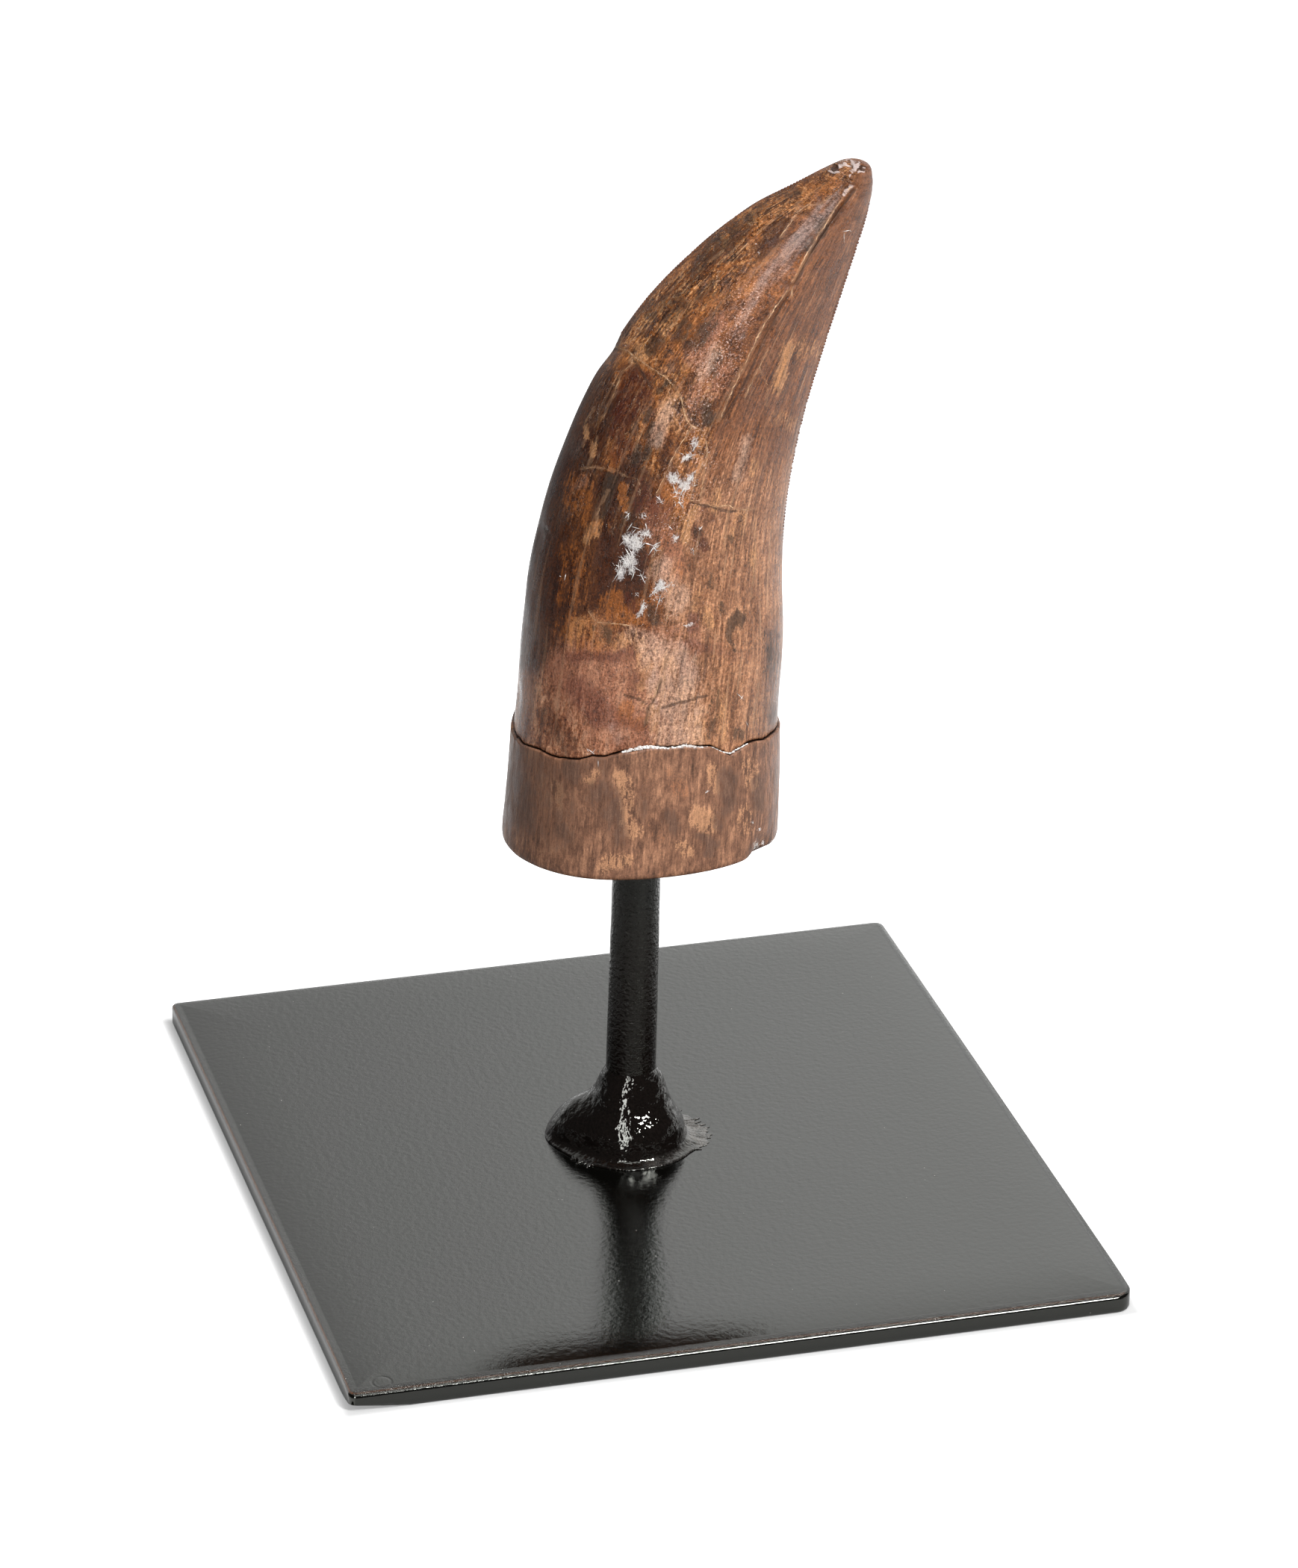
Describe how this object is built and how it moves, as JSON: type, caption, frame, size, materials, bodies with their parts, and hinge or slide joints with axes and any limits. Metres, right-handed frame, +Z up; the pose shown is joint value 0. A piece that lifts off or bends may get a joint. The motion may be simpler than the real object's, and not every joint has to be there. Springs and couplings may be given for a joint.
{
  "type": "fossil tooth on stand",
  "caption": "Curved serrated tyrannosaur tooth fossil, crown glued to a band of root, held upright on a rod welded to a flat black-painted steel plate.",
  "frame": {"origin": "middle of the plate's underside", "axes": "+Z up, +X along the plate's shorter side towards the side that the tooth's tip leans over, -Y towards the viewer's side"},
  "size_m": [0.1016, 0.112, 0.1395],
  "materials": {
    "plate_paint": "satin black paint with a fine orange-peel texture and small specks",
    "rod_paint": "black paint, finely pebbled",
    "weld_paint": "thick glossy black paint over a lumpy weld",
    "root_fossil": "matte brown fossil dentine with upright grain and dark mottling",
    "crown_enamel": "satin brown fossil enamel with lengthwise streaks, dark patches and thin cream cracks"
  },
  "bodies": {
    "root": {"base_plate": "plate_paint", "post": "rod_paint", "weld_collar": "weld_paint", "tooth_root": "root_fossil", "tooth_crown": "crown_enamel"}
  },
  "joints": []
}
